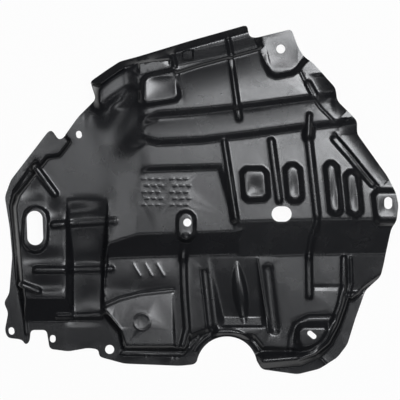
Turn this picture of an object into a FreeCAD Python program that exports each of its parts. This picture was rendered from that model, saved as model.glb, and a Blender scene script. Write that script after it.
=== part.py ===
# Fender splash shield: a one-piece moulded plastic under-cover with stepped decks, pads and beads.
# The skin is the space between an upper form and the same form set one wall lower and one wall in.
import FreeCAD, Part
import math
import os

doc = FreeCAD.newDocument("splash_shield")
sheet = doc.addObject("Spreadsheet::Sheet", "Sizes")

SIZES = {
    "grid_pitch": 1.75,       # size of one square of the plan drawing
    "wall": 2.5,              # thickness of the moulded skin
    "floor_lift": 11.5,       # lower floor above the rim
    "left_lift": 26,          # left panel above the rim
    "text_lift": 22,          # middle plate above the lower floor
    "deck_lift": 6,           # right deck above the middle plate
    "band_lift": 7,           # cross band above the deck
    "crown_lift": 9,          # top plates above the cross band
    "pad_rise": 8,            # raised pads above their deck
    "bead_rise": 5,           # stiffening beads above their deck
    "boss_rise": 7,           # fixing boss above the middle plate
    "block_rise": 15,         # louvre block above the lower floor, at its high end
    "plate_rise": 5,          # lower left plate above the lower floor, at its high end
    "corner_rise": 7,         # raised corner field above the top plates
    "groove_drop": 4,         # groove inside the right lip
    "channel_drop": 22,       # left channel below the left panel, at its deep end
    "flange_drop": 9,         # outer edge of the top flange below its ridge
    "flange_angle": 14,       # slopes, from upright: the flange's turned-down edge
    "shoulder_angle": 68,     # the flange's facet, from its ridge outwards
    "rim_angle": 28,          # the lower floor's edges
    "edge_angle": 18,         # the left panel's outer edges
    "ramp_angle": 58,         # the left panel's lower end
    "slope_angle": 66,        # the long slope below the right deck
    "plate_angle": 62,        # the long slope below the middle plate
    "side_angle": 81,         # the soft slope from the middle plate down to the left
    "band_side_angle": 74,    # the same from the cross band
    "crown_side_angle": 67,   # the same from the top plates
    "step_angle": 60,         # the steps between the top plates, the band and the deck
    "pad_angle": 48,          # a pad's walls
    "bead_angle": 38,         # slope of a bead's wall, from upright
    "bead_half": 7,           # half the width of a bead at its foot
    "corner_radius": 7,       # rounding of the corners in plan
    "arch_radius": 53.5,      # half-round cut-out in the lower edge
    "top_hole": 15.5,         # round fixing hole in the top right pad
    "boss_hole": 14,          # round fixing hole in the boss
    "tab_hole": 16,           # round fixing hole in the lower left tab
    "drain_long": 35,         # oval access hole
    "drain_wide": 27,
    "hand_slot_long": 60,     # long slot in the left panel
    "hand_slot_wide": 28,
    "clip_slot_long": 21,     # slotted fixing hole in the right tab
    "clip_slot_wide": 14,
    "small_slot_long": 13,    # small slotted holes along the left edge
    "small_slot_wide": 10,
    "pad_slot_long": 18,      # leaning slot in the lower right pad
    "pad_slot_wide": 9,
}
for row, (alias, value) in enumerate(SIZES.items(), start=1):
    sheet.set(f"A{row}", alias)
    sheet.set(f"B{row}", str(value))
    sheet.setAlias(f"B{row}", alias)
doc.recompute()

CENTRE = (200.73, 200.5)     # the plan drawing's square at the middle of the part
GRID = sheet.get("grid_pitch")
WALL = sheet.get("wall")
CORNER = sheet.get("corner_radius")
UPRIGHT = "upright"          # a side that another deck hides
DEPTH = 12 * WALL             # how far the solid forms reach below the rim
CLEAR = 68 * GRID             # well above the highest pad
SPACE = 900 * GRID            # wider than the part
SEAT = 0.4 * WALL             # how deep a pad or bead is rooted in the deck below it
BEAD_RISE = sheet.get("bead_rise")
BEAD_HALF = sheet.get("bead_half")
GROOVE_DROP = sheet.get("groove_drop")

LEVEL = {"rim": "Sizes.wall"}
LEVEL["floor"] = LEVEL["rim"] + " + Sizes.floor_lift"
LEVEL["left"] = LEVEL["rim"] + " + Sizes.left_lift"
LEVEL["text"] = LEVEL["floor"] + " + Sizes.text_lift"
LEVEL["deck"] = LEVEL["text"] + " + Sizes.deck_lift"
LEVEL["band"] = LEVEL["deck"] + " + Sizes.band_lift"
LEVEL["crown"] = LEVEL["band"] + " + Sizes.crown_lift"


def spot(point, z=0.0):
    """A point of the plan drawing as a place in millimetres; the drawing's second axis runs down."""
    return FreeCAD.Vector((point[0] - CENTRE[0]) * GRID, (CENTRE[1] - point[1]) * GRID, z)


def turn_area(places):
    return sum(a.x * b.y - b.x * a.y for a, b in zip(places, places[1:] + places[:1])) / 2


def draft(name):
    """The slope of a side from upright, in radians."""
    return 0.0 if name == UPRIGHT else math.radians(sheet.get(name + "_angle"))


def skin_inset(name):
    """How far the lower form's side stands inside the upper one's, so that the wall stays even."""
    angle = draft(name)
    return WALL * (1 - math.sin(angle)) / math.cos(angle)


def moved_sides(places, distances):
    """The corners after each side moves outwards by its own distance; side n runs from corner n to the next."""
    way = 1 if turn_area(places) > 0 else -1
    lines = []
    for here, after, distance in zip(places, places[1:] + places[:1], distances):
        along = (after - here).normalize()
        outwards = FreeCAD.Vector(along.y, -along.x, 0) * way
        lines.append((here + outwards * distance, along))
    corners = []
    for (start, along), (other, other_along) in zip(lines[-1:] + lines[:-1], lines):
        cross = along.x * other_along.y - along.y * other_along.x
        gap = other - start
        corners.append(start + along * ((gap.x * other_along.y - gap.y * other_along.x) / cross))
    return corners


def rounded(places, radius):
    """Straight sides joined by tangent arcs, each as large as its two sides allow."""
    arcs = []
    for before, here, after in zip(places[-1:] + places[:-1], places, places[1:] + places[:1]):
        back = before - here
        ahead = after - here
        half = back.getAngle(ahead) / 2
        reach = min(radius / math.tan(half), 0.45 * back.Length, 0.45 * ahead.Length)
        size = reach * math.tan(half)
        back.normalize()
        ahead.normalize()
        middle = (back + ahead).normalize() * (size / math.sin(half) - size)
        arcs.append((here + back * reach, here + middle, here + ahead * reach))
    return arcs


def outline_sketch(name, places, radius, level):
    """A closed outline, drawn flat and lifted to its level."""
    sketch = doc.addObject("Sketcher::SketchObject", name)
    arcs = rounded(places, radius)
    for number, (start, middle, end) in enumerate(arcs):
        sketch.addGeometry(Part.Arc(start, middle, end))
        sketch.addGeometry(Part.LineSegment(end, arcs[(number + 1) % len(arcs)][0]))
    sketch.setExpression("Placement.Base.z", level)
    return sketch


def both(make):
    """One relief made twice: for the upper form, and set one wall in for the lower form."""
    return make("upper", 0), make("lower", 1)


def hipped(name, places, slopes, flat_z, other_z, inset):
    """A solid with a flat face at one level, and a planar side from each edge of it at that side's own slope."""
    flat = moved_sides(places, [inset * skin_inset(slope) for slope in slopes])
    reach = abs(other_z - flat_z)
    wide = moved_sides(flat, [reach * math.tan(draft(slope)) for slope in slopes])
    near = [FreeCAD.Vector(v.x, v.y, flat_z) for v in flat]
    far = [FreeCAD.Vector(v.x, v.y, other_z) for v in wide]
    faces = [Part.Face(Part.makePolygon(near + near[:1])), Part.Face(Part.makePolygon(far + far[:1]))]
    for a, b, c, d in zip(near, near[1:] + near[:1], far[1:] + far[:1], far):
        faces.append(Part.Face(Part.makePolygon([a, b, c, d, a])))
    solid = doc.addObject("Part::Feature", name)
    shape = Part.Solid(Part.Shell(faces))
    if shape.Volume < 0:
        shape.reverse()
    solid.Shape = shape
    return solid


def deck(name, top, outline, base=0.0):
    """A raised deck or pad: outline corners with the slope of the side that follows each."""
    places = [spot(corner[:2]) for corner in outline]
    slopes = [corner[2] for corner in outline]
    return both(lambda side, inset: hipped(f"{name}_{side}", places, slopes, top, base, -inset))


def hollow(name, bottom, outline):
    """A sunken field, open upwards."""
    places = [spot(corner[:2]) for corner in outline]
    slopes = [corner[2] for corner in outline]
    return both(lambda side, inset: hipped(f"{name}_{side}", places, slopes, bottom, CLEAR, inset))


def ridge(name, start, end, half, foot, top, slope, sides=3):
    """A straight ridge with many-sided round ends; half is half its width at the foot."""
    crest = half - (top - foot) * math.tan(draft(slope))
    places = slot_corners(spot(start), spot(end), crest, sides)
    return both(lambda side, inset: hipped(
        f"{name}_{side}", places, [slope] * len(places), top, foot - SEAT, -inset))


def trough(name, start, end, half, bottom, top, slope, sides=3):
    """A straight groove with many-sided round ends; half is half its width at the bottom."""
    places = slot_corners(spot(start), spot(end), half, sides)
    return both(lambda side, inset: hipped(
        f"{name}_{side}", places, [slope] * len(places), bottom, top + SEAT, inset))


def tilted_space(name, low, high, above):
    """All the space under, or above, a plane that falls along the plan from one point to another."""
    (y_low, z_low), (y_high, z_high) = low, high
    start = spot((0, y_low), z_low)
    end = spot((0, y_high), z_high)
    angle = math.degrees(math.atan2(end.z - start.z, end.y - start.y))
    if abs(angle) > 90:
        angle -= math.copysign(180, angle)
    space = doc.addObject("Part::Box", name)
    space.Length = space.Width = SPACE
    space.Height = SPACE / 2
    turn = FreeCAD.Rotation(FreeCAD.Vector(1, 0, 0), angle)
    corner = FreeCAD.Vector(-SPACE / 2, -SPACE / 2, 0 if above else -SPACE / 2)
    space.Placement = FreeCAD.Placement(FreeCAD.Vector(0, start.y, start.z), turn).multiply(
        FreeCAD.Placement(corner, FreeCAD.Rotation()))
    return space


def tilted(name, pair, low, high, above=False):
    """A deck with a sloping top, or a hollow with a sloping floor."""
    def make(side, number):
        trimmed = doc.addObject("Part::Common", f"{name}_{side}_tilted")
        trimmed.Base = pair[number]
        trimmed.Tool = tilted_space(f"{name}_{side}_space", low, high, above)
        return trimmed
    return both(make)


def slot_corners(start, end, half, sides):
    """Corners of a straight slot outline whose half-round ends are made of a few flat sides."""
    lean = math.atan2(end.y - start.y, end.x - start.x)
    corners = []
    for place, turn in ((end, lean), (start, lean + math.pi)):
        for step in range(sides + 1):
            angle = turn - math.pi / 2 + math.pi * step / sides
            corners.append(place + FreeCAD.Vector(math.cos(angle), math.sin(angle), 0) * half)
    return corners


def capsule(start, end, half):
    """A straight slot outline with half-round ends, as two lines and two arcs."""
    along = (end - start).normalize()
    across = FreeCAD.Vector(-along.y, along.x, 0) * half
    cap = along * half
    return [Part.LineSegment(start + across, end + across), Part.Arc(end + across, end + cap, end - across),
            Part.LineSegment(end - across, start - across), Part.Arc(start - across, start - cap, start + across)]


def capsule_solid(name, start, end, half):
    """A straight slot-shaped drill, as tall as everything."""
    sketch = doc.addObject("Sketcher::SketchObject", name + "_outline")
    for piece in capsule(start, end, half):
        sketch.addGeometry(piece)
    solid = doc.addObject("Part::Extrusion", name)
    solid.Base = sketch
    solid.DirMode = "Custom"
    solid.Dir = FreeCAD.Vector(0, 0, 1)
    solid.Solid = True
    solid.LengthFwd = CLEAR
    return solid


def bead(name, path, foot, rise=1.0, half=1.0):
    """A raised bead along a path: one ridge for each run, overlapping at the bends."""
    top = foot + rise if rise > 1 else foot + BEAD_RISE
    return [ridge(f"{name}_{number}", start, end, half * BEAD_HALF, foot, top, "bead")
            for number, (start, end) in enumerate(zip(path, path[1:]))]


def groove(name, path, level, half=0.5):
    """A sunken bead along a path."""
    return [trough(f"{name}_{number}", start, end, half * BEAD_HALF, level - GROOVE_DROP, level, "bead")
            for number, (start, end) in enumerate(zip(path, path[1:]))]


def height(level):
    """A level as a number, for the sections that are drawn upright."""
    return sum(sheet.get(word.strip().split(".")[1]) for word in level.split("+"))


# Outer outline, clockwise from the left end of the top flange; the lower cut-out is a round of its own.
OUTLINE = [
    (90, 82), (107, 70), (120, 61.5), (137, 57), (190, 41), (247, 25), (249, 37), (256, 38.5), (291, 30),
    (297, 47), (303, 57), (312, 63), (335, 88), (337, 101), (357, 121), (357, 134), (387, 176), (395, 192),
    (398, 205), (396, 221), (391, 229), (384, 265), (381, 277), (366, 291), (356, 319), (348, 345),
    (338, 358), (320, 369.5), (298, 375), (262, 370), (255, 358), (199, 358), (195, 365), (180, 366.5),
    (124, 364.3), (99, 357.5), (98, 350), (88, 348.5), (68, 352), (49, 349.5), (46, 330.5), (30, 330.5),
    (29, 342), (25, 345.5), (21, 340), (7, 338.5), (4, 331), (7.5, 313), (3, 303), (8.5, 294), (11.5, 256),
    (9, 228), (4, 197), (10, 180), (48, 131), (52, 130.5), (58, 139.5), (63, 138), (78, 117), (96, 99),
]

RIM, FLOOR, LEFT, TEXT, DECK, BAND, CROWN = [
    height(LEVEL[name]) for name in ("rim", "floor", "left", "text", "deck", "band", "crown")]
BLOCK_TOP = FLOOR + sheet.get("block_rise")
PLATE_TOP = FLOOR + sheet.get("plate_rise")
CHANNEL = LEFT - sheet.get("channel_drop")
FLANGE = CROWN - sheet.get("flange_drop")
SKIM = 0.16 * WALL            # how far the thin end of a tilted field stands above its deck

# Decks from the lowest to the highest. Each corner names the slope of the side that follows it.
raised = [
    deck("floor_left", FLOOR, [
        (103, 236, "rim"), (103, 307, "rim"), (107, 311, "rim"), (123, 329, "rim"), (126, 348, "rim"),
        (181, 348, "rim"), (193, 328, UPRIGHT), (200, 236, UPRIGHT)]),
    deck("floor_right", FLOOR, [
        (190, 236, UPRIGHT), (189, 334, "pad"), (204, 328, "pad"), (226, 323, "pad"), (251, 331, "rim"),
        (264, 347, "rim"), (298, 349, "rim"), (325, 334, "rim"), (341, 298, "rim"), (347, 236, UPRIGHT)]),
    deck("rim_right", FLOOR, [
        (334, 236, UPRIGHT), (334, 294, "rim"), (352, 298, "rim"), (366, 285, "rim"), (390, 268, UPRIGHT),
        (410, 236, UPRIGHT)]),
    deck("left_panel", LEFT, [
        (25, 298, "edge"), (22, 280, "edge"), (20, 250, "edge"), (16, 207, "edge"), (19, 196, "edge"),
        (48, 159, "edge"), (60, 157, "edge"), (71, 142, UPRIGHT), (56, 126, UPRIGHT), (80, 100, UPRIGHT),
        (130, 100, UPRIGHT), (110, 220, UPRIGHT), (104, 298, "ramp")]),
    deck("side_field", LEFT, [
        (76, 100, UPRIGHT), (180, 80, UPRIGHT), (180, 234, "slope"), (104, 237, "slope"), (96, 236, UPRIGHT)]),
    deck("middle_plate", TEXT, [
        (137, 112, UPRIGHT), (262, 112, UPRIGHT), (262, 226, "plate"), (232, 231, "plate"), (137, 234, "side")]),
    deck("deck_right", DECK, [
        (238, 100, UPRIGHT), (410, 100, UPRIGHT), (410, 218, "slope"), (320, 219, "slope"),
        (238, 221, UPRIGHT)]),
    deck("deck_edge", DECK, [
        (222, 150, UPRIGHT), (262, 150, UPRIGHT), (262, 220, "slope"), (238, 221, "step"), (222, 165, "step")],
        TEXT - SEAT),
    deck("strip", DECK, [
        (142, 130, UPRIGHT), (262, 130, UPRIGHT), (262, 163, "step"), (222, 164, "step"), (150, 166, "band_side")],
        TEXT - SEAT),
    deck("band", BAND, [
        (144, 102, UPRIGHT), (410, 60, UPRIGHT), (410, 112, "step"), (300, 124, "step"), (250, 131, "step"),
        (200, 137, "step"), (158, 139, "step"), (146, 136, "band_side")]),
    deck("crown", CROWN, [
        (143, 78, UPRIGHT), (256, 48, UPRIGHT), (410, 40, UPRIGHT), (410, 82, "step"), (335, 91, "step"),
        (300, 96, "step"), (250, 102.6, "step"), (200, 108, "step"), (158, 111, "step"), (146, 116, "crown_side")]),
    deck("crown_end", CROWN, [(258, 10, UPRIGHT), (410, 10, UPRIGHT), (410, 80, UPRIGHT), (258, 90, UPRIGHT)]),
    deck("ridge", CROWN, [
        (138, 76, "shoulder"), (169, 68, "shoulder"), (222, 57, "shoulder"), (262, 45.5, UPRIGHT),
        (262, 80, UPRIGHT), (150, 95, UPRIGHT), (141, 92, "crown_side")], FLANGE - SEAT),
    deck("flange", FLANGE, [
        (97, 88, "flange"), (110, 77, "flange"), (123, 69, "flange"), (139, 64.5, "flange"),
        (192, 48.5, "flange"), (262, 28.5, UPRIGHT), (262, 60, UPRIGHT), (150, 90, UPRIGHT), (127, 86, UPRIGHT),
        (109, 98, UPRIGHT), (98, 108, "flange")]),
    deck("flange_end", FLANGE, [
        (97, 88, UPRIGHT), (123, 70, UPRIGHT), (150, 66, UPRIGHT), (172, 90, UPRIGHT), (126, 86, "step"),
        (109, 98, "step"), (98, 107, UPRIGHT)], LEFT - SEAT),
]
louvre = deck("louvre_block", BLOCK_TOP, [
    (219, 250, "pad"), (259, 250, "pad"), (268, 324, "pad"), (227, 324, "pad")])
raised.append(tilted("louvre", louvre, (257, FLOOR + SKIM), (322, BLOCK_TOP)))
lower_field = deck("lower_field", PLATE_TOP, [
    (106, 285, UPRIGHT), (171, 285, "rim"), (174, 346, "rim"), (126, 346, "rim"), (122, 330, "rim"),
    (106, 312, "rim")])
raised.append(tilted("lower_plate", lower_field, (292, FLOOR + SKIM), (346, PLATE_TOP)))

def cut_corners(outline, by):
    """Each corner of a small outline becomes two, so that the pad looks rounded; by is in squares."""
    out = []
    for before, here, after in zip(outline[-1:] + outline[:-1], outline, outline[1:] + outline[:1]):
        for other in (before, after):
            span = math.dist(here, other)
            share = min(by, 0.4 * span) / span
            out.append((here[0] + (other[0] - here[0]) * share, here[1] + (other[1] - here[1]) * share))
    return out


def pad(name, top, outline, base, by=3.0):
    raised.append(deck(name, top, [corner + ("pad",) for corner in cut_corners(outline, by)], base))


PAD_TOP = DECK + sheet.get("pad_rise")
pad("pad_one", PAD_TOP, [(244, 171), (264, 171), (266, 197), (246, 198)], DECK - SEAT)
pad("pad_two", PAD_TOP, [(287, 167), (297, 167), (300, 199), (290, 199)], DECK - SEAT)
pad("pad_three", PAD_TOP, [(327, 165), (334, 165), (339, 212), (332, 212)], DECK - SEAT)
pad("pad_four", PAD_TOP, [(347, 174), (355, 174), (359, 213), (351, 213)], DECK - SEAT)
pad("tab_right", PAD_TOP, [(375, 193), (410, 193), (410, 219), (378, 219)], DECK - SEAT)
pad("tab_top", CROWN + sheet.get("pad_rise"),
    [(258, 20), (266, 62), (273, 75), (293, 71), (304, 57), (330, 45), (330, 20)], CROWN - SEAT)
pad("corner_field", CROWN + sheet.get("corner_rise"), [(145, 79), (175, 72), (178, 98), (144, 104)], CROWN - SEAT)
pad("corner_pad", FLOOR + sheet.get("pad_rise"), [(300, 328), (328, 328), (320, 341), (306, 348), (300, 344)], 0.0)

raised += bead("rib_crown", [(231, 62), (237, 106)], BAND, CROWN - BAND + BEAD_RISE, 1.8)
raised += bead("rib_band", [(237, 106), (239, 118)], BAND)
raised += bead("rib_deck_left", [(224, 141), (236, 219)], TEXT, DECK - TEXT + BEAD_RISE, 1.5)
raised += bead("rib_deck_mid", [(271, 141), (279, 200)], DECK)
raised += bead("rib_band_right", [(309, 115), (308, 136)], DECK, BAND - DECK + BEAD_RISE, 1.6)
raised += bead("rib_deck_right", [(308, 136), (317, 216)], DECK)
raised += bead("rib_floor_right", [(309, 256), (309.5, 296)], FLOOR)
raised += bead("rib_floor_left", [(183, 245), (184, 288), (187, 330), (183, 346)], FLOOR)
raised += bead("rib_rim", [(344, 258), (344, 287), (340, 305), (334, 322), (326, 340), (314, 352), (300, 358),
                           (264, 361)], RIM, FLOOR - RIM + BEAD_RISE, 2.2)
raised += bead("rib_panel_upper", [(53, 225), (66, 224)], LEFT)
raised += bead("rib_panel_middle", [(36, 270), (66, 270)], LEFT)
raised += bead("rib_panel_lower", [(22, 285), (38, 291)], LEFT)
raised += bead("rib_panel_top", [(36, 168), (55, 194)], LEFT)
raised += bead("rib_flange_left", [(172, 52), (175, 64)], RIM)
raised += bead("rib_flange_right", [(228, 36), (230, 52)], RIM)
raised.append(ridge("boss", (186, 220), (186, 231), 18, TEXT, TEXT + sheet.get("boss_rise"), "bead", 6))
raised.append(ridge("slot_ring", (36, 219), (35, 240), 24, LEFT, LEFT + BEAD_RISE, "bead", 6))

channel = hollow("channel_hollow", CHANNEL, [(73, 190, "rim"), (101, 190, "rim"), (101, 390, "rim"), (73, 390, "rim")])
sunk = [tilted("channel", channel, (262, CHANNEL), (198, LEFT), above=True)]
sunk += groove("lip_upper", [(308, 84), (320, 105)], CROWN)
sunk += groove("lip_lower", [(334, 139), (350, 157), (372, 184)], DECK)


def fuse(name, solids):
    result = doc.addObject("Part::MultiFuse", name)
    result.Shapes = solids
    return result


def cut(name, base, tool):
    result = doc.addObject("Part::Cut", name)
    result.Base = base
    result.Tool = tool
    return result


def slab(name):
    """The solid below the rim's level, wider than the part."""
    box = doc.addObject("Part::Box", name)
    box.Length = box.Width = SPACE
    box.setExpression("Height", f"{DEPTH} + Sizes.wall")
    box.Placement.Base = FreeCAD.Vector(-SPACE / 2, -SPACE / 2, -DEPTH)
    return box


def form(side, number):
    """Everything under the upper or the lower face of the skin."""
    whole = fuse(f"{side}_raised", [slab(f"{side}_slab")] + [pair[number] for pair in raised])
    return cut(f"{side}_form", whole, fuse(f"{side}_sunk", [pair[number] for pair in sunk]))


upper = form("upper", 0)
lower = form("lower", 1)
lower.setExpression("Placement.Base.z", "-Sizes.wall")
skin = cut("skin", upper, lower)

blank = doc.addObject("Part::Extrusion", "blank")
blank.Base = outline_sketch("outline", [spot(p) for p in OUTLINE], CORNER, "0")
blank.DirMode = "Custom"
blank.Dir = FreeCAD.Vector(0, 0, 1)
blank.Solid = True
blank.LengthFwd = CLEAR
sheet_part = doc.addObject("Part::Common", "trimmed")
sheet_part.Base = skin
sheet_part.Tool = blank


def round_hole(name, place, diameter):
    drill = doc.addObject("Part::Cylinder", name)
    drill.setExpression("Radius", f"{diameter} / 2")
    drill.Height = CLEAR
    drill.Placement.Base = spot(place, -DEPTH)
    return drill


def slot_hole(name, place, long, wide, lean):
    """A slotted hole; its length leans from the plan's first axis by an angle in degrees."""
    half = (sheet.get(long) - sheet.get(wide)) / 2
    way = FreeCAD.Vector(math.cos(math.radians(lean)), math.sin(math.radians(lean)), 0) * half
    return capsule_solid(name, spot(place) - way, spot(place) + way, sheet.get(wide) / 2)


drills = [
    round_hole("top_hole", (280.3, 49.7), "Sizes.top_hole"),
    round_hole("boss_hole", (187.3, 222.5), "Sizes.boss_hole"),
    round_hole("tab_hole", (109.3, 350), "Sizes.tab_hole"),
    round_hole("arch", (227, 367.5), "2 * Sizes.arch_radius"),
    slot_hole("drain_hole", (281.5, 214), "drain_long", "drain_wide", 0),
    slot_hole("hand_slot", (35, 228), "hand_slot_long", "hand_slot_wide", 92),
    slot_hole("clip_slot", (387.7, 203), "clip_slot_long", "clip_slot_wide", 90),
    slot_hole("edge_slot", (78.9, 134.5), "small_slot_long", "small_slot_wide", 100),
    slot_hole("left_slot", (10.8, 331.5), "small_slot_long", "small_slot_wide", 100),
    slot_hole("foot_slot", (52.2, 339.3), "small_slot_long", "small_slot_wide", 90),
    slot_hole("pad_slot", (312, 335), "pad_slot_long", "pad_slot_wide", -40),
]
shield = cut("splash_shield", sheet_part, fuse("openings", drills))
shield.Label = "splash_shield"

doc.recompute()
for item in doc.Objects:
    if "Invalid" in item.State or "Error" in item.State:
        raise RuntimeError(f"{item.Name} did not build: {item.State}")
if shield.Shape.isNull() or not shield.Shape.isValid():
    raise RuntimeError("the shield's solid is not valid")

os.makedirs("parts", exist_ok=True)
shield.Shape.exportStep("parts/splash_shield.step")
box = shield.Shape.optimalBoundingBox(False, False)
print("solids", len(shield.Shape.Solids), "faces", len(shield.Shape.Faces), "volume", round(shield.Shape.Volume))
print("size", round(box.XLength, 2), round(box.YLength, 2), round(box.ZLength, 2))
print("from", round(box.XMin, 2), round(box.YMin, 2), round(box.ZMin, 2), "to", round(box.XMax, 2), round(box.YMax, 2))
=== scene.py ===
# %% [markdown]
# # Fender splash shield
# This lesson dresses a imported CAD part: a black, one-piece moulded cover that lies flat under a car's
# front corner. The CAD gives the true sizes with flat, sharp facets. A moulded sheet has no sharp facet
# anywhere, so here the same sheet is made again with soft bends, and with the small ribs and creases
# that are too fine for the CAD.

# %% Load the frame
import math

import bmesh
import bpy
import numpy as np
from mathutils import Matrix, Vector
from mathutils.bvhtree import BVHTree


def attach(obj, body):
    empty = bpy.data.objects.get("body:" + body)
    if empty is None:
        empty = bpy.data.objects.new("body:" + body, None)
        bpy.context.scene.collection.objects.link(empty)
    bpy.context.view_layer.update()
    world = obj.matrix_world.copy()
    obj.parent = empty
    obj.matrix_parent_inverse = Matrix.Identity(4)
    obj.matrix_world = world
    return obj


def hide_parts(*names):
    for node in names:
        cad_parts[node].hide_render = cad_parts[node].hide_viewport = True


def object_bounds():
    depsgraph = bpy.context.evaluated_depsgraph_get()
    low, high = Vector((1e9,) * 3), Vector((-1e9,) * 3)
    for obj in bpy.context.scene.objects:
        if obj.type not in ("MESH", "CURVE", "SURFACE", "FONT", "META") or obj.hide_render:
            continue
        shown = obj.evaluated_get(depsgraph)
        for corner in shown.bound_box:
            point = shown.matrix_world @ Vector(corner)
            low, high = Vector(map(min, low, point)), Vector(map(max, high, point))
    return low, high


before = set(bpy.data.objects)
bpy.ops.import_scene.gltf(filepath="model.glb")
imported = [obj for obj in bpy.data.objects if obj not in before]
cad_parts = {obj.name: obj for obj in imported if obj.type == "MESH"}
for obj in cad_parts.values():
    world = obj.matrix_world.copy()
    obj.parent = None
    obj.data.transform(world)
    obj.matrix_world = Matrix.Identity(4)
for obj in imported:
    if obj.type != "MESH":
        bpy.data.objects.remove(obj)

cad_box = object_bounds()
shield_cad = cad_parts["splash_shield"]
print("CAD box", cad_box)

# %% [markdown]
# ## The plan drawing
# The part was drawn on squares of 1.75 mm, counted from the left and from the top. Working in those
# squares keeps every rib's place easy to read, so one small helper goes from squares to metres.

# %% Squares and metres
SQUARE_MM = 1.75
SQUARE = SQUARE_MM / 1000
MM = 0.001
MIDDLE = (200.73, 200.5)


def to_metres(x, y):
    return (x - MIDDLE[0]) * SQUARE, (MIDDLE[1] - y) * SQUARE


print("one square is", SQUARE_MM, "mm")

# %% [markdown]
# ## Reading the upper face
# A moulded sheet has one height for each place, like a map of hills. A straight look down on the CAD
# from every point of a fine grid gives that map. The CAD's mesh is loose triangles, so a copy of it is
# merged first. Rays then find its heights quickly and exactly.

# %% The grid of heights
PITCH = 0.0013
SPARE_POINTS = 13
LOOK_FROM = 0.2
CAD_TOP = cad_box[1][2]
columns = int((cad_box[1][0] - cad_box[0][0]) / PITCH) + SPARE_POINTS
rows = int((cad_box[1][1] - cad_box[0][1]) / PITCH) + SPARE_POINTS
grid_x = (np.arange(columns) - (columns - 1) / 2) * PITCH
grid_y = (np.arange(rows) - (rows - 1) / 2) * PITCH

merged = bmesh.new()
merged.from_mesh(shield_cad.data)
bmesh.ops.remove_doubles(merged, verts=merged.verts, dist=1e-6)
cad_surface = BVHTree.FromBMesh(merged)
down = Vector((0, 0, -1))
heights = np.full((rows, columns), np.nan)
for row, y in enumerate(grid_y):
    for column, x in enumerate(grid_x):
        hit = cad_surface.ray_cast(Vector((x, y, LOOK_FROM)), down)[0]
        if hit is not None:
            heights[row, column] = hit.z
merged.free()
print("grid", columns, "x", rows, "with", int(np.isfinite(heights).sum()), "points on the sheet")

# %% [markdown]
# ## Soft bends
# A mould is polished, and hot plastic shrinks a little as it cools, so each bend has a radius of 2 to
# 4 mm. Bevels could round the bends, but they are slow and fragile on so many edges. Blurring the
# height map rounds every crest and every foot alike. Where the sheet ends, the nearest heights are
# first carried outwards, so that the blur doesn't pull the edges down.

# %% Carry the heights past the edges
RIM_HEIGHT = 0.0025


def carried_out(known_heights, steps):
    """The map with its outermost heights carried outwards, one grid point at each step."""
    filled = known_heights.copy()
    for _ in range(steps):
        known = np.isfinite(filled)
        total = np.zeros_like(filled)
        count = np.zeros_like(filled)
        for shift, axis in ((1, 0), (-1, 0), (1, 1), (-1, 1)):
            near = np.roll(filled, shift, axis)
            there = np.isfinite(near)
            total[there] += near[there]
            count[there] += 1
        new = ~known & (count > 0)
        filled[new] = total[new] / count[new]
    filled[~np.isfinite(filled)] = RIM_HEIGHT
    return filled


carried = carried_out(heights, steps=14)
print("every one of", carried.size, "points now has a height")

# %% Round every bend with a blur
BEND = 0.0015


def blurred(values, radius):
    """A soft average of the values round each grid point, over about the radius in metres."""
    reach = max(1, int(3 * radius / PITCH))
    offsets = np.arange(-reach, reach + 1)
    weights = np.exp(-0.5 * (offsets * PITCH / radius) ** 2)
    weights /= weights.sum()
    for axis in (0, 1):
        widths = [(reach, reach) if axis == n else (0, 0) for n in (0, 1)]
        padded = np.pad(values, widths, mode="edge")
        out = np.zeros_like(values)
        for offset, weight in zip(offsets, weights):
            start = reach + offset
            kept = slice(start, start + values.shape[axis])
            out += weight * (padded[kept, :] if axis == 0 else padded[:, kept])
        values = out
    return values


sheet = blurred(carried, BEND)
print("heights from", round(float(sheet.min()) * 1000, 2), "to", round(float(sheet.max()) * 1000, 2), "mm")

# %% [markdown]
# ## Tools for fine relief
# Stiffening ribs, creases and swells are part of the moulded skin. Each could be a piece of its own
# that is joined on, but its foot would show a seam. So each one is a small height added to the map: a
# path in squares with a half width and a rise. The rise falls off like a cosine, as a rolled bead does.

# %% Distances, rolled ribs and soft fields
square_x = grid_x[None, :] / SQUARE + MIDDLE[0] + np.zeros((rows, 1))
square_y = MIDDLE[1] - grid_y[:, None] / SQUARE + np.zeros((1, columns))


def distance_to(path):
    """How far each grid point is from a path, in squares."""
    best = np.full(square_x.shape, np.inf)
    for (ax, ay), (bx, by) in zip(path, path[1:]):
        long_x, long_y = bx - ax, by - ay
        part = ((square_x - ax) * long_x + (square_y - ay) * long_y) / (long_x ** 2 + long_y ** 2)
        part = np.clip(part, 0, 1)
        best = np.minimum(best, np.hypot(square_x - ax - part * long_x, square_y - ay - part * long_y))
    return best


def rolled(away, half, rise):
    """The height of a rolled bead, away and half in squares from its middle line, rise in mm."""
    return rise * MM * 0.5 * (1 + np.cos(math.pi * np.clip(away / half, 0, 1)))


def rib(path, half, rise):
    """A rolled rib along a path, or a crease where the rise is negative."""
    return rolled(distance_to(path), half, rise)


def field(x_from, x_to, y_from, y_to, edge):
    """1 inside a rectangle of squares, falling smoothly to 0 over the edge's width."""
    def side(values, low, high):
        rise = np.clip((values - low) / edge + 0.5, 0, 1)
        fall = np.clip((high - values) / edge + 0.5, 0, 1)
        return rise * rise * (3 - 2 * rise) * fall * fall * (3 - 2 * fall)
    return side(square_x, x_from, x_to) * side(square_y, y_from, y_to)


print("the grid is", round(float(np.ptp(square_x)), 1), "x", round(float(np.ptp(square_y)), 1), "squares")

# %% [markdown]
# ## The soft slope on the left
# On the real cover the top plates have no crisp end on the left. They run down into the left panel in
# one long hollow slope, where the CAD has flat facets. Wider blurs of the same heights are blended in,
# the widest one in the middle of the slope, so the facets melt into one surface.

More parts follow.
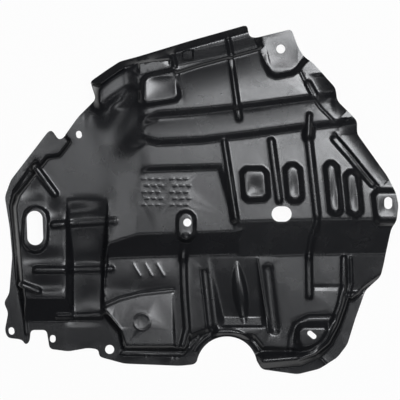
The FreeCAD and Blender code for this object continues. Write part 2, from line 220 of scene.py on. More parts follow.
# %% Blend in wider and wider blurs
WIDER_BENDS = (0.0045, 0.008, 0.013)
soft = np.maximum(field(80, 139, 106, 196, 22), field(106, 143, 104, 150, 14))
soft = np.maximum(soft, 0.3 * field(94, 134, 62, 104, 6))
for step, radius in enumerate(WIDER_BENDS):
    share = np.clip(len(WIDER_BENDS) * soft - step, 0, 1)
    sheet = sheet * (1 - share) + blurred(carried, radius) * share
print("soft slope:", round(float(soft.mean()), 3), "of the grid")

# %% [markdown]
# ## The louvre
# In the middle of the lower half, a panel falls away from the floor and ends in a short lip that rises
# again. The CAD has a block there that stands up instead. So the block is first cut off level with the
# floor, and the panel is then sunk between two crests that lean to the right on their way down.

# %% Level the block and sink the panel
FLOOR = 0.014
PANEL_FALL = 0.009
LIP_RISE = 0.005
PANEL_BEND = 0.0018
louvre_block = (square_x > 192) & (square_x < 282) & (square_y > 256.5) & (square_y < 345)
sheet = np.where(louvre_block, np.minimum(sheet, FLOOR), sheet)
down_panel = np.clip((square_y - 258) / 60, 0, 1)
back_up = np.clip((square_y - 318) / 7, 0, 1)
left_crest = 209 + 7 * down_panel
right_crest = 257 + 10.5 * down_panel
from_left = np.clip((square_x - left_crest) / (2 + 6 * down_panel), 0, 1)
from_right = np.clip((right_crest - square_x) / (2 + 4 * down_panel), 0, 1)
sunk = np.where(square_y < 327, PANEL_FALL * down_panel - LIP_RISE * back_up, 0)
panel = blurred(sunk * from_left * from_right, PANEL_BEND)
near_floor = sheet > FLOOR - 0.004
sheet = sheet - panel * near_floor
print("louvre panel falls", round(float(sunk.max()) * 1000, 1), "mm")

# %% [markdown]
# ## Shallow bowls
# Between its ribs the real skin isn't level. Each field dips by a millimetre or two, and that gives it
# a gradient of light, which a flat facet never has. Two sine waves multiplied make such a bowl in any
# rectangle. One number more moves the deepest place up or down.

# %% Bowls inside the pads and between the ribs
BOWLS = [
    (247, 263, 174, 196, 1.6), (289, 298, 170, 197, 1.3), (330, 337, 168, 210, 1.3),
    (349, 357, 177, 211, 1.3), (378, 394, 196, 216, 1.0), (147, 175, 77, 100, 2.0, 0.7),
    (20, 46, 170, 202, 2.4), (46, 66, 196, 221, 2.2), (20, 66, 244, 267, 2.8),
    (24, 66, 274, 292, 2.0), (69, 104, 192, 221, 1.8), (69, 104, 228, 266, 2.2),
    (69, 104, 274, 315, 2.2), (262, 298, 34, 70, 1.2), (106, 182, 240, 290, -1.6),
]


def bowl(x_from, x_to, y_from, y_to, depth, skew=1.6):
    """A bowl in a rectangle of squares, depth in mm; its deepest place is low if skew is over 1."""
    u = np.clip((square_x - x_from) / (x_to - x_from), 0, 1)
    v = np.clip((square_y - y_from) / (y_to - y_from), 0, 1)
    return depth * MM * np.sin(math.pi * u) ** 0.7 * np.sin(math.pi * v ** skew)


for numbers in BOWLS:
    sheet = sheet - bowl(*numbers)
print(len(BOWLS), "shallow bowls")

# %% The channel leans to the left, and the right rim to the front
CHANNEL_LEAN = 0.0042
RIM_LEAN = 0.004
in_channel = field(68, 104, 207, 322, 14)
sheet = sheet - CHANNEL_LEAN * in_channel * np.clip((104 - square_x) / 36, 0, 1)
on_rim = field(347, 396, 256, 293, 5)
sheet = sheet - RIM_LEAN * on_rim * np.clip((square_y - 256) / 34, 0, 1)
print("the channel leans by", CHANNEL_LEAN * 1000, "mm and the rim by", RIM_LEAN * 1000, "mm")

# %% [markdown]
# ## Window and pocket
# The slope of the top flange has a level window that stands out of it, and a small square pocket
# beside the window. A mask with soft sides blends the window's one level over the slope. The pocket is
# a small field that is taken away.

# %% The window and the pocket in the flange's slope
WINDOW_LEVEL = 0.0574
WINDOW_EDGE = 2.5
POCKET_DEPTH = 0.0035
window_top = 61.5 - 0.1 * (square_x - 138)
window = (np.clip((square_y - window_top) / WINDOW_EDGE, 0, 1)
          * np.clip((square_x - 138) / WINDOW_EDGE, 0, 1)
          * np.clip((171 - square_x) / WINDOW_EDGE, 0, 1) * (square_y < 78))
sheet = np.maximum(sheet, sheet * (1 - window) + WINDOW_LEVEL * window)
sheet = sheet - POCKET_DEPTH * field(182.5, 193, 50.5, 60, 1.3)
print("window points:", int((window > 0.5).sum()))

# %% [markdown]
# ## Ribs, creases and rims
# The real cover has slim beads across its channel and slopes, hollows and crests beside the louvre, and
# rolled rims. Each row below gives a path in squares, a half width in squares and a rise in
# millimetres. Around the arch the path is a circle, so the distance to the circle takes its place.

# %% Add the fine ribs
FINE_RIBS = {
    "channel_upper": ([(68, 224), (114, 221)], 5, 3.0),
    "channel_middle": ([(68, 270), (111, 269)], 5, 3.5),
    "channel_lower": ([(58, 317), (104, 315)], 5, 3.0),
    "slope_right": ([(317, 222), (311, 240), (309, 257)], 5, 3.0),
    "slope_boss": ([(186, 238), (183, 258)], 7, 4.0),
    "louvre_right_hollow": ([(268, 270), (275, 329)], 8, -4.5),
    "louvre_left_hollow": ([(205, 272), (211, 327)], 5, -3.0),
    "louvre_right_crest": ([(257.5, 259), (268.5, 333)], 1.6, 1.6),
    "louvre_left_crest": ([(200, 268), (207, 331)], 1.6, 1.6),
    "lower_crease": ([(104, 306), (120, 299), (140, 294), (172, 290.5)], 3.5, -1.2),
    "right_crease": ([(315, 287.5), (342, 287.5)], 4, -0.8),
    "left_rim": ([(36, 163), (15, 192), (12, 206), (15, 232), (18, 276), (19, 284)], 4.5, 4.0),
    "flange_rib_left": ([(171, 50), (175, 66)], 4, 3.0),
    "flange_rib_right": ([(227, 34), (231, 54)], 4, 3.0),
    "bottom_rib_one": ([(146, 358), (145.5, 367)], 2, 1.2),
    "bottom_rib_two": ([(151, 358), (150.5, 367)], 2, 1.2),
    "bottom_rib_three": ([(172, 359), (171.5, 368)], 2, 1.2),
    "bottom_rib_four": ([(177, 359), (176.5, 368)], 2, 1.2),
    "bottom_ridge": ([(122, 354), (182, 355), (192, 346), (199, 338)], 3.5, 2.5),
    "rim_cross": ([(319, 357), (328, 366)], 2.5, 2.0),
    "outer_bead": ([(351, 258), (352, 284), (346, 306), (339, 326), (329, 344), (316, 354), (300, 359)],
                   3, 2.5),
    "corner_pad_ring": ([(291, 352), (292, 338), (297, 325), (309, 318.5), (332, 318)], 6, -3.5),
    "tab_fold": ([(20, 293), (24, 316), (26, 334)], 3, 2.5),
    "lower_plate_crest": ([(104, 309), (121, 330), (123, 346)], 2, 1.6),
}
for path, half, rise in FINE_RIBS.values():
    sheet += rib(path, half, rise)
to_arch_ring = np.abs(np.hypot(square_x - 227, square_y - 367.5) - 36)
sheet += rolled(to_arch_ring, 3.5, 2.5) * (square_y < 352)
print(len(FINE_RIBS), "fine ribs and creases, and a ring round the arch")

# %% [markdown]
# ## Hollow fields
# Two of the upper plates start steep at their top crest and run out level, so light falls on them as a
# long gradient. Each gets a swell on one side of its crest. Its height falls fast beside the crest and
# slowly further out, which makes the surface hollow.

# %% Swells that start steep and run out level
def along_and_out(start, end):
    """How far each grid point is along a leg and to its right, and the leg's length, in squares."""
    (ax, ay), (bx, by) = start, end
    long_x, long_y = bx - ax, by - ay
    length = math.hypot(long_x, long_y)
    along = ((square_x - ax) * long_x + (square_y - ay) * long_y) / length
    out = ((square_y - ay) * long_x - (square_x - ax) * long_y) / length
    return along, out, length


def run_out(path, width, rise):
    """A swell to the right of a path and steepest beside it; width in squares, rise in mm."""
    swell = np.zeros_like(sheet)
    for start, end in zip(path, path[1:]):
        along, out, length = along_and_out(start, end)
        ends = np.clip((along + 4) / 4, 0, 1) * np.clip((length + 4 - along) / 4, 0, 1)
        falling = (1 - np.clip(out / width, 0, 1)) ** 2
        onset = np.clip((out + 2.5) / 3, 0, 1)
        swell = np.maximum(swell, rise * MM * falling * onset * ends)
    return blurred(swell, 0.0012)


UPPER_PLATE_CREST = [(178, 74), (200, 67), (226, 60), (262, 50)]
LOWER_BAND_CREST = [(150, 121), (200, 117), (250, 111), (300, 105), (330, 100)]
sheet += run_out(UPPER_PLATE_CREST, 36, 6.5)
sheet += run_out(LOWER_BAND_CREST, 22, 1.8)
print("two hollow fields")

# %% [markdown]
# ## The louvre's bulge
# A long bulge, slender at both ends, stiffens the louvre's panel. Its spine leans like the crests. Its
# width and its rise both follow half a sine wave, so it fades out where it starts and where it ends.

# %% The long bulge
BULGE_RISE = 0.007
down_bulge = np.clip((square_y - 261) / 64, 0, 1)
spine = 236.5 + 8 * down_bulge
bulge_half = 1.5 + 7 * np.sin(math.pi * down_bulge) ** 0.8
across = np.clip(np.abs(square_x - spine) / bulge_half, 0, 1)
sheet += BULGE_RISE * np.sin(math.pi * down_bulge) * (1 - across ** 2) ** 1.5
print("the bulge rises", BULGE_RISE * 1000, "mm")

# %% [markdown]
# ## The lip at the right edge
# At the upper right the plates don't end flat. Behind a shallow crease they roll over and fall towards
# the edge, more and more steeply. The fall grows with the square of the distance past the crease.

# %% Roll the lip over
LIP = [(300, 72), (312, 97), (320, 108), (333, 121), (334, 134), (350, 153), (368, 176), (378, 187)]
LIP_FALL = 0.0023
past_crease = np.zeros_like(sheet)
for start, end in zip(LIP, LIP[1:]):
    along, out, length = along_and_out(start, end)
    beside_leg = (along >= -2) & (along <= length + 2)
    past_crease = np.maximum(past_crease, np.where(beside_leg, -out, 0))
lip = field(296, 420, 76, 188, 6)
sheet -= lip * LIP_FALL * (np.clip(past_crease, 0, 24) / 12) ** 2
sheet += rib(LIP[:4], 2.5, -1.6) + rib(LIP[4:], 2.5, -1.6)
print("the lip takes in", int(((lip > 0.5) & (past_crease > 0)).sum()), "points")

# %% [markdown]
# ## Plain marks
# Such a cover carries small moulded notes. This one has none, and plain relief stands in their place:
# rows of short bars, three slanted strokes and a ring. They rise by less than a millimetre, so they
# show only as thin lights.

# %% Bars, strokes and a ring
BAR_ROWS, BARS_IN_A_ROW, STROKES = 5, 8, 3
marks = np.zeros_like(sheet)
for row in range(BAR_ROWS):
    for column in range(BARS_IN_A_ROW):
        x, y = 142 + 7 * column + 3 * (row % 2), 179 + 6.5 * row
        if column % 4 != 3:
            marks = np.maximum(marks, rib([(x, y), (x + 3.4, y - 0.3)], 1.5, 0.45))
for column in range(STROKES):
    marks = np.maximum(marks, rib([(133 + 12 * column, 264), (140 + 12 * column, 276)], 2.2, 0.55))
to_mark_ring = np.abs(np.hypot(square_x - 142, square_y - 322) - 8)
marks = np.maximum(marks, rolled(to_mark_ring, 1.8, 0.8))
sheet += marks
print("marks over", int((marks > 0.0001).sum()), "points")

# %% [markdown]
# ## The flange's outer strip
# Along the top edge, a narrow strip leans out from the flange, and its edge is turned down to the
# floor. The strip's height falls evenly towards the edge. The next step lets the lower face reach the
# floor along the last two millimetres.

# %% Lean the strip
FLANGE_EDGE = [(90, 82), (107, 70), (120, 61.5), (137, 57), (190, 41), (247, 25)]
FLANGE_CREST = 0.049
STRIP_ANGLE = math.radians(40)
in_from_edge = distance_to(FLANGE_EDGE)
strip = (in_from_edge < 8.5) & (square_x < 248.5) & (square_y < 84)
leaned = FLANGE_CREST - np.clip(7.5 - in_from_edge, 0, 8) * SQUARE * math.tan(STRIP_ANGLE)
sheet = np.where(strip, np.maximum(sheet, leaned), sheet)
print("flange strip:", int(strip.sum()), "points")

# %% [markdown]
# ## From heights to a sheet with a wall
# The lower face lies one wall under the upper one. Measured straight down, a steep side needs more depth
# for the same wall, so the depth grows with the slope. Nothing goes below the floor.

# %% Both faces
WALL = 0.0025
LOWEST_TOP = 0.0012
THINNEST = 0.0011
BELOW_CAD_TOP = 0.0001
slope_y, slope_x = np.gradient(sheet, PITCH)
depth = WALL * np.sqrt(1 + blurred(slope_x ** 2 + slope_y ** 2, BEND))
sheet = np.clip(sheet, LOWEST_TOP, CAD_TOP - BELOW_CAD_TOP)
under = np.maximum(sheet - depth, 0.0)
under = np.minimum(under, sheet - THINNEST)
under[strip & (in_from_edge < 1.4)] = 0.0
print("depth from", round(float(depth.min()) * 1000, 2), "to", round(float(depth.max()) * 1000, 2), "mm")

# %% The closed block
xs = np.broadcast_to(grid_x[None, :], sheet.shape)
ys = np.broadcast_to(grid_y[:, None], sheet.shape)
xs = np.clip(xs, cad_box[0][0], cad_box[1][0])
ys = np.clip(ys, cad_box[0][1], cad_box[1][1])
points = np.concatenate([np.stack([xs, ys, face], -1).reshape(-1, 3) for face in (sheet, under)])
number = np.arange(rows * columns).reshape(rows, columns)
quads_up = np.stack([number[:-1, :-1], number[:-1, 1:], number[1:, 1:], number[1:, :-1]], -1).reshape(-1, 4)
quads_down = quads_up[:, ::-1] + rows * columns
border = np.concatenate([number[0, :-1], number[:-1, -1], number[-1, :0:-1], number[:0:-1, 0]])
following = np.roll(border, -1)
quads_side = np.stack([border + rows * columns, following + rows * columns, following, border], -1)
quads = np.concatenate([quads_up, quads_down, quads_side])


def mesh_from(name, points, quads):
    """An object in the scene from points and four-cornered faces."""
    mesh = bpy.data.meshes.new(name)
    mesh.vertices.add(len(points))
    mesh.vertices.foreach_set("co", points.astype(np.float32).ravel())
    mesh.loops.add(quads.size)
    mesh.loops.foreach_set("vertex_index", quads.astype(np.int32).ravel())
    mesh.polygons.add(len(quads))
    mesh.polygons.foreach_set("loop_start", np.arange(0, quads.size, 4, dtype=np.int32))
    mesh.update(calc_edges=True)
    mesh.validate()
    made = bpy.data.objects.new(name, mesh)
    bpy.context.scene.collection.objects.link(made)
    return made


shield = mesh_from("shield_sheet", points, quads)
print("closed block of", len(quads), "quads")

# %% [markdown]
# ## The outline and the holes
# The sheet is cut like pastry: an upright block in the outline's shape keeps what lies inside it, and
# upright pins cut the holes. The outline is drawn corner by corner, and each corner is rounded.

# %% The outline's corners, clockwise from the left end of the top flange
OUTLINE = [
    (90, 82), (107, 70), (120, 61.5), (137, 57), (190, 41), (247, 25), (249, 37), (256, 38.5), (291, 30),
    (297, 47), (303, 57), (312, 63), (335, 88), (337, 101), (357, 121), (357, 134), (387, 176), (395, 192),
    (398, 205), (396, 221), (391, 229), (384, 265), (381, 277), (366, 291), (356, 319), (348, 345),
    (338, 358), (320, 369.5), (298, 375), (262, 370), (255, 358), (199, 358), (195, 365), (180, 366.5),
    (124, 364.3), (99, 357.5), (98, 350), (88, 348.5), (68, 352), (49, 349.5), (46, 330.5), (30, 330.5),
    (29, 342), (25, 345.5), (21, 340), (7, 338.5), (4, 331), (7.5, 313), (3, 303), (8.5, 294), (11.5, 256),
    (9, 228), (4, 197), (10, 180), (48, 131), (52, 130.5), (58, 139.5), (63, 138), (78, 117), (96, 99),
]
CORNER = 4


def rounded_outline(corners, radius, steps=6):
    """Each corner becomes a short smooth curve from one of its sides to the other."""
    out = []
    count = len(corners)
    for n, here in enumerate(corners):
        here = np.array(here, float)
        before = np.array(corners[n - 1], float) - here
        after = np.array(corners[(n + 1) % count], float) - here
        back = before / np.linalg.norm(before) * min(radius, 0.45 * np.linalg.norm(before))
        ahead = after / np.linalg.norm(after) * min(radius, 0.45 * np.linalg.norm(after))
        for t in np.linspace(0, 1, steps):
            out.append(here + back * (1 - t) ** 2 + ahead * t ** 2)
    return out


smooth_outline = rounded_outline(OUTLINE, CORNER)
print(len(OUTLINE), "outline corners, rounded to", len(smooth_outline), "points")

# %% An upright block over any flat shape
def upright_block(name, corners, low=-0.02, high=0.12):
    """A closed block from low to high over a flat shape that is given in squares."""
    flat = [to_metres(x, y) for x, y in corners]
    area = sum(a[0] * b[1] - b[0] * a[1] for a, b in zip(flat, flat[1:] + flat[:1]))
    if area < 0:
        flat.reverse()
    shape = bmesh.new()
    bottom = [shape.verts.new((x, y, low)) for x, y in flat]
    shape.faces.new(bottom[::-1])
    top = [shape.verts.new((x, y, high)) for x, y in flat]
    shape.faces.new(top)
    for a, b, c, d in zip(bottom, bottom[1:] + bottom[:1], top[1:] + top[:1], top):
        shape.faces.new((a, b, c, d))
    bmesh.ops.triangulate(shape, faces=shape.faces)
    mesh = bpy.data.meshes.new(name)
    shape.to_mesh(mesh)
    shape.free()
    block = bpy.data.objects.new(name, mesh)
    bpy.context.scene.collection.objects.link(block)
    return block


outline_block = upright_block("outline_block", smooth_outline)
print("outline block with", len(outline_block.data.polygons), "triangles")

# %% The holes
def slot_shape(x, y, long, wide, lean=0.0, sides=24):
    """A slotted hole; long and wide in millimetres, lean in degrees from the drawing's first axis."""
    half = (long - wide) / 2 / SQUARE_MM
    radius = wide / 2 / SQUARE_MM
    turn = math.radians(lean)
    corners = []
    for n in range(sides):
        angle = 2 * math.pi * (n + 0.5) / sides
        push = half if math.cos(angle) > 0 else -half
        u, v = push + radius * math.cos(angle), radius * math.sin(angle)
        corner_x = x + u * math.cos(turn) + v * math.sin(turn)
        corner_y = y - u * math.sin(turn) + v * math.cos(turn)
        corners.append((corner_x, corner_y))
    return corners


HOLES = {
    "top_hole": slot_shape(280.3, 49.7, 15.5, 15.5),
    "boss_hole": slot_shape(187.3, 222.5, 14, 14),
    "tab_hole": slot_shape(109.3, 350, 16, 16),
    "arch": slot_shape(227, 367.5, 107, 107, sides=72),
    "drain_hole": slot_shape(281.5, 214, 35, 27),
    "hand_slot": slot_shape(35, 228, 60, 28, 92),
    "clip_slot": slot_shape(387.7, 203, 21, 14, 90),
    "edge_slot": slot_shape(78.9, 134.5, 13, 10, 100),
    "left_slot": slot_shape(10.8, 331.5, 13, 10, 100),
    "foot_slot": slot_shape(52.2, 339.3, 13, 10, 90),
    "pad_slot": slot_shape(312, 335, 18, 9, -40),
}
print(len(HOLES), "holes")


# %% Cut the sheet
def cut_with(target, tool, operation):
    """Cuts the target with a tool that is thrown away afterwards, and returns how many faces are left."""
    cut = target.modifiers.new("cut", "BOOLEAN")
    cut.operation = operation
    cut.solver = "MANIFOLD"
    cut.object = tool
    done = bpy.data.meshes.new_from_object(target.evaluated_get(bpy.context.evaluated_depsgraph_get()))
    target.modifiers.clear()
    target.data = done
    bpy.data.objects.remove(tool)
    return len(done.polygons)


print("inside the outline:", cut_with(shield, outline_block, "INTERSECT"))
for name, corners in HOLES.items():
    print(name, cut_with(shield, upright_block(name, corners), "DIFFERENCE"))

# %% [markdown]
# ## Fewer triangles
# Flat fields need few triangles and bends need many, and Decimate works that out by itself. It can
# leave a stray triangle, or two that lie back to back on the same corners. Both kinds are taken out,
# so that the sheet stays one closed piece.

# %% Thin the mesh
TRIANGLES = 190000
slim = shield.modifiers.new("slim", "DECIMATE")
shield.data.calc_loop_triangles()
slim.ratio = min(1.0, TRIANGLES / len(shield.data.loop_triangles))
thinned = bpy.data.meshes.new_from_object(shield.evaluated_get(bpy.context.evaluated_depsgraph_get()))
shield.modifiers.clear()
shield.data = thinned
print("thinned from", len(shield.data.polygons), "faces")

# %% Take out stray triangles
cleaned = bmesh.new()
cleaned.from_mesh(shield.data)
bmesh.ops.triangulate(cleaned, faces=cleaned.faces)
same_corners = {}
for face in cleaned.faces:
    same_corners.setdefault(frozenset(corner.index for corner in face.verts), []).append(face)
stray = {face for twins in same_corners.values() if len(twins) > 1 for face in twins}
stray |= {face for face in cleaned.faces if sum(len(edge.link_faces) != 2 for edge in face.edges) > 1}
bmesh.ops.delete(cleaned, geom=list(stray), context="FACES")
cleaned.to_mesh(shield.data)
open_edges = sum(len(edge.link_faces) != 2 for edge in cleaned.edges)
cleaned.free()
shield.data.calc_loop_triangles()
print(len(shield.data.loop_triangles), "triangles without", len(stray), "stray ones; open edges", open_edges)

# %% [markdown]
# ## True normals
# Thin triangles on a nearly level field catch the light as faint scratches, because each corner's
# shading is a guess from its triangles. The height map knows the real slope at every point, so the
# corners of both faces take their normals from it, and the cut edges keep their own. A large triangle
# that ends at a bend keeps its own normal there, or the bend's shading would spread over the level field.

# %% Slopes from the height map
def normals_of(heights_map):
    rise_y, rise_x = np.gradient(heights_map, PITCH)
    return np.stack([-rise_x, -rise_y, np.ones_like(rise_x)], -1)


def sampled(values, at_x, at_y):
    """Values of a grid between its points; 1.001 keeps the next point on the grid too."""
    u = np.clip((at_x - grid_x[0]) / PITCH, 0, columns - 1.001)
    v = np.clip((at_y - grid_y[0]) / PITCH, 0, rows - 1.001)
    i, j = u.astype(int), v.astype(int)
    fu, fv = (u - i)[:, None], (v - j)[:, None]
    return (values[j, i] * (1 - fu) * (1 - fv) + values[j, i + 1] * fu * (1 - fv)
            + values[j + 1, i] * (1 - fu) * fv + values[j + 1, i + 1] * fu * fv)


def read(items, attribute, width, kind):
    """One attribute of all a mesh's vertices, corners or faces, as an array."""
    found = np.zeros(len(items) * width, kind)
    items.foreach_get(attribute, found)
    return found.reshape(-1, width) if width > 1 else found


mesh = shield.data
mesh.shade_smooth()
corner_point = read(mesh.loops, "vertex_index", 1, np.int32)
spots = read(mesh.vertices, "co", 3, np.float32).astype(float)
upper = sampled(normals_of(sheet), spots[:, 0], spots[:, 1])[corner_point]
lower = -sampled(normals_of(under), spots[:, 0], spots[:, 1])[corner_point]
upper /= np.linalg.norm(upper, axis=1)[:, None]
lower /= np.linalg.norm(lower, axis=1)[:, None]
print("slopes read at", len(corner_point), "corners")

# %% Choose a normal for each corner
SMALL_FACE = 3e-6
LOOSE_MATCH, CLOSE_MATCH = 0.4, 0.985
corners_each = read(mesh.polygons, "loop_total", 1, np.int32)
areas = read(mesh.polygons, "area", 1, np.float32)
facing = read(mesh.polygons, "normal", 3, np.float32).astype(float)
corner_facing = np.repeat(facing, corners_each, axis=0)
needed_match = np.repeat(np.where(areas < SMALL_FACE, LOOSE_MATCH, CLOSE_MATCH), corners_each)
fits_up = (upper * corner_facing).sum(1) > needed_match
fits_down = (lower * corner_facing).sum(1) > needed_match
true_normals = corner_facing.copy()
true_normals[fits_down] = lower[fits_down]
true_normals[fits_up] = upper[fits_up]
mesh.normals_split_custom_set(true_normals.tolist())
print("corners on the upper face:", int(fits_up.sum()), "on the lower face:", int(fits_down.sum()))

# %% [markdown]
# ## Black moulded plastic
# Polypropylene with carbon black is nearly black itself. What the eye sees is its gloss: a fine grain
# breaks the reflections up, and handling leaves dull scuffs. Grain and wear are small node groups with
# named inputs, so another material could use them with its own values. The grain comes first: a fine
# noise for its relief, and a slow, cloudy one for changes of tint and gloss.

# %% A node group for grain
def group_with(name, inputs, outputs):
    """An empty node group with named sockets, and its input and output nodes."""
    tree = bpy.data.node_groups.new(name, "ShaderNodeTree")
    for label, kind, value in inputs:
        socket = tree.interface.new_socket(label, in_out="INPUT", socket_type=kind)
        if value is not None:
            socket.default_value = value
    for label, kind in outputs:
        tree.interface.new_socket(label, in_out="OUTPUT", socket_type=kind)
    return tree, tree.nodes.new("NodeGroupInput"), tree.nodes.new("NodeGroupOutput")


grain, grain_in, grain_out = group_with(
    "moulded_grain",
    [("Vector", "NodeSocketVector", None), ("Scale", "NodeSocketFloat", 900.0),
     ("Cloud Scale", "NodeSocketFloat", 9.0)],
    [("Height", "NodeSocketFloat"), ("Cloud", "NodeSocketFloat")])
for scale, detail, result in (("Scale", 2.0, "Height"), ("Cloud Scale", 5.0, "Cloud")):
    noise = grain.nodes.new("ShaderNodeTexNoise")
    noise.inputs["Detail"].default_value = detail
    grain.links.new(grain_in.outputs["Vector"], noise.inputs["Vector"])
    grain.links.new(grain_in.outputs[scale], noise.inputs["Scale"])
    grain.links.new(noise.outputs["Fac"], grain_out.inputs[result])
print("group", grain.name)

# %% [markdown]
# ## Handling wear
# A cover that has been stacked and carried has dull patches between clean ones. A noise picks the
# patches: only its higher values count, so most of the skin stays clean. Each patch adds a little
# roughness to what comes in.

# %% A node group for wear
wear, wear_in, wear_out = group_with(
    "handling_wear",
    [("Vector", "NodeSocketVector", None), ("Roughness", "NodeSocketFloat", 0.25),
     ("Amount", "NodeSocketFloat", 0.07), ("Scale", "NodeSocketFloat", 24.0)],
    [("Roughness", "NodeSocketFloat")])
patches = wear.nodes.new("ShaderNodeTexNoise")
patches.inputs["Detail"].default_value = 6.0
wear.links.new(wear_in.outputs["Vector"], patches.inputs["Vector"])
wear.links.new(wear_in.outputs["Scale"], patches.inputs["Scale"])
picked = wear.nodes.new("ShaderNodeMapRange")
picked.inputs["From Min"].default_value = 0.5
picked.inputs["From Max"].default_value = 0.7
wear.links.new(patches.outputs["Fac"], picked.inputs["Value"])
scuffed = wear.nodes.new("ShaderNodeMath")
scuffed.operation = "MULTIPLY_ADD"
wear.links.new(picked.outputs["Result"], scuffed.inputs[0])
wear.links.new(wear_in.outputs["Amount"], scuffed.inputs[1])
wear.links.new(wear_in.outputs["Roughness"], scuffed.inputs[2])
wear.links.new(scuffed.outputs["Value"], wear_out.inputs["Roughness"])
print("group", wear.name)

# %% [markdown]
# ## The plastic itself
# The cloudy noise drives both the tint and the gloss, wear is laid over the gloss, and the fine grain
# becomes a faint bump. Object coordinates keep the pattern at its true size wherever the part goes.

# %% The plastic
plastic = bpy.data.materials.new("black_moulded_plastic")
plastic.use_nodes = True
nodes, links = plastic.node_tree.nodes, plastic.node_tree.links
skin = nodes["Principled BSDF"]
coordinates = nodes.new("ShaderNodeTexCoord")
grained = nodes.new("ShaderNodeGroup")
grained.node_tree = grain
links.new(coordinates.outputs["Object"], grained.inputs["Vector"])
rough = nodes.new("ShaderNodeMapRange")
rough.inputs["To Min"].default_value = 0.2
rough.inputs["To Max"].default_value = 0.28
links.new(grained.outputs["Cloud"], rough.inputs["Value"])
worn = nodes.new("ShaderNodeGroup")
worn.node_tree = wear
links.new(coordinates.outputs["Object"], worn.inputs["Vector"])
links.new(rough.outputs["Result"], worn.inputs["Roughness"])
links.new(worn.outputs["Roughness"], skin.inputs["Roughness"])
tint = nodes.new("ShaderNodeMix")
tint.data_type = "RGBA"
tint.inputs["A"].default_value = (0.0075, 0.0078, 0.0092, 1)
tint.inputs["B"].default_value = (0.012, 0.0125, 0.0145, 1)
links.new(grained.outputs["Cloud"], tint.inputs["Factor"])
links.new(tint.outputs["Result"], skin.inputs["Base Color"])
relief = nodes.new("ShaderNodeBump")
relief.inputs["Strength"].default_value = 0.25
relief.inputs["Distance"].default_value = 0.0002
links.new(grained.outputs["Height"], relief.inputs["Height"])
links.new(relief.outputs["Normal"], skin.inputs["Normal"])
shield.data.materials.clear()
shield.data.materials.append(plastic)
print("material", plastic.name)

# %% [markdown]
# ## In the CAD solid's place
# The new sheet shows every form of the CAD solid, so it takes its place in the picture. The solid stays
# in the physics model. Nothing on this part moves, so the sheet rides on the one body there is.

# %% Ride and replace
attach(shield, "root")
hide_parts("splash_shield")
print("the sheet rides on root")

# %% [markdown]
# ## Floor
# The photograph is a plain catalogue picture from straight above on white. A floor lit to pure white
# would need lamps that are too strong for the part. So the floor glows where the camera or a
# reflection looks at it, and a small share of plain paper keeps the part's shadow.

# %% The white floor
FLOOR_HALF, FLOOR_LEVEL = 6, -0.0005
GLOW_SHARE = 0.95
floor_corners = [(x * FLOOR_HALF, y * FLOOR_HALF, FLOOR_LEVEL) for x, y in ((-1, -1), (1, -1), (1, 1), (-1, 1))]
floor_mesh = bpy.data.meshes.new("floor")
floor_mesh.from_pydata(floor_corners, [], [(0, 1, 2, 3)])
floor = bpy.data.objects.new("floor", floor_mesh)
bpy.context.scene.collection.objects.link(floor)
white = bpy.data.materials.new("white_floor")
white.use_nodes = True
nodes, links = white.node_tree.nodes, white.node_tree.links
paper = nodes["Principled BSDF"]
paper.inputs["Base Color"].default_value = (0.8, 0.8, 0.8, 1)
paper.inputs["Roughness"].default_value = 1.0
paper.inputs["Specular IOR Level"].default_value = 0.0
glow = nodes.new("ShaderNodeEmission")
ray_kind = nodes.new("ShaderNodeLightPath")
reflected = nodes.new("ShaderNodeMath")
reflected.operation = "MAXIMUM"
links.new(ray_kind.outputs["Is Glossy Ray"], reflected.inputs[0])
links.new(ray_kind.outputs["Is Transmission Ray"], reflected.inputs[1])
looked_at = nodes.new("ShaderNodeMath")
looked_at.operation = "MAXIMUM"
looked_at.use_clamp = True
links.new(ray_kind.outputs["Is Camera Ray"], looked_at.inputs[0])
links.new(reflected.outputs["Value"], looked_at.inputs[1])
glow_share = nodes.new("ShaderNodeMath")
glow_share.operation = "MULTIPLY"
glow_share.inputs[1].default_value = GLOW_SHARE
links.new(looked_at.outputs["Value"], glow_share.inputs[0])
floor_blend = nodes.new("ShaderNodeMixShader")
links.new(glow_share.outputs["Value"], floor_blend.inputs["Fac"])
links.new(paper.outputs["BSDF"], floor_blend.inputs[1])
links.new(glow.outputs["Emission"], floor_blend.inputs[2])
links.new(floor_blend.outputs["Shader"], nodes["Material Output"].inputs["Surface"])
floor_mesh.materials.append(white)
print("floor laid")

# %% [markdown]
# ## Light
# On glossy black, light shows mostly as reflections, so the lamps are placed by what each field mirrors.
# A bright softbox hangs up to the right and a weaker, larger one over the middle, and four narrow ones
# hang round them. Many level fields mirror a gap between them and stay grey, gently tilted ones catch a
# box, and steep sides turn away from all of them and go dark.

# %% The softboxes
COOL_WHITE = (0.96, 0.975, 1.0)


def softbox(name, place, size, power):
    data = bpy.data.lights.new(name, "AREA")
    data.shape = "RECTANGLE"
    data.size, data.size_y = size
    data.energy = power
    data.color = COOL_WHITE
    lamp = bpy.data.objects.new(name, data)
    lamp.location = place
    lamp.rotation_euler = (Vector((0, 0, 0)) - Vector(place)).to_track_quat("-Z", "Y").to_euler()
    lamp.visible_camera = False
    bpy.context.scene.collection.objects.link(lamp)
    return lamp


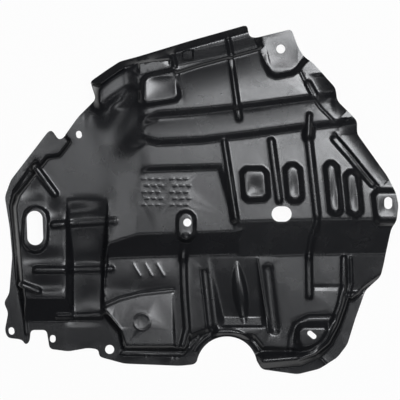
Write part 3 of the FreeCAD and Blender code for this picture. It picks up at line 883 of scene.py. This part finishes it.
softboxes = [
    softbox("softbox_bright", (0.45, 0.38, 2.2), (0.48, 0.58), 19),
    softbox("softbox_middle", (0.03, 0.33, 2.2), (0.75, 0.74), 6),
    softbox("softbox_left", (-1.05, 0, 2.2), (0.25, 1.1), 5),
    softbox("softbox_right", (1.45, -0.2, 2.2), (0.2, 1.2), 3),
    softbox("softbox_low", (0.1, -1.6, 2.2), (1.9, 0.2), 5),
    softbox("softbox_top", (0, 1.6, 2.0), (1.6, 0.25), 6),
]
print(len(softboxes), "softboxes")

# %% [markdown]
# ## World
# Past the floor's edge the camera should see white too, but a white world would fill every dark side
# with light. So the world is white to the camera alone and dim to everything else.

# %% A world that is white to the camera
DIM_STRENGTH = 0.05
world = bpy.data.worlds.new("studio")
bpy.context.scene.world = world
world.use_nodes = True
nodes, links = world.node_tree.nodes, world.node_tree.links
dim = nodes["Background"]
dim.inputs["Color"].default_value = (1, 1, 1, 1)
dim.inputs["Strength"].default_value = DIM_STRENGTH
bright = nodes.new("ShaderNodeBackground")
bright.inputs["Strength"].default_value = 1.0
ray_kind = nodes.new("ShaderNodeLightPath")
world_blend = nodes.new("ShaderNodeMixShader")
links.new(ray_kind.outputs["Is Camera Ray"], world_blend.inputs["Fac"])
links.new(dim.outputs["Background"], world_blend.inputs[1])
links.new(bright.outputs["Background"], world_blend.inputs[2])
links.new(world_blend.outputs["Shader"], nodes["World Output"].inputs["Surface"])
print("world", world.name)

# %% [markdown]
# ## Camera
# The photograph looks straight down from far away, with almost no perspective. A long lens from seven
# metres gives that. Its length follows from the width that the picture shows at the sheet's height.

# %% The camera
DISTANCE = 7.0
SHEET_HEIGHT = 0.03
SENSOR = 36
PICTURE_SQUARES = 400
camera_data = bpy.data.cameras.new("camera")
camera_data.sensor_width = SENSOR
camera_data.lens = SENSOR * (DISTANCE - SHEET_HEIGHT) / (PICTURE_SQUARES * SQUARE)
camera_data.clip_end = 50
camera = bpy.data.objects.new("camera", camera_data)
camera.location = (*to_metres(200, 200), DISTANCE)
bpy.context.scene.collection.objects.link(camera)
bpy.context.scene.camera = camera
bpy.context.scene.view_settings.view_transform = "Standard"
print("lens", round(camera_data.lens, 1), "mm")
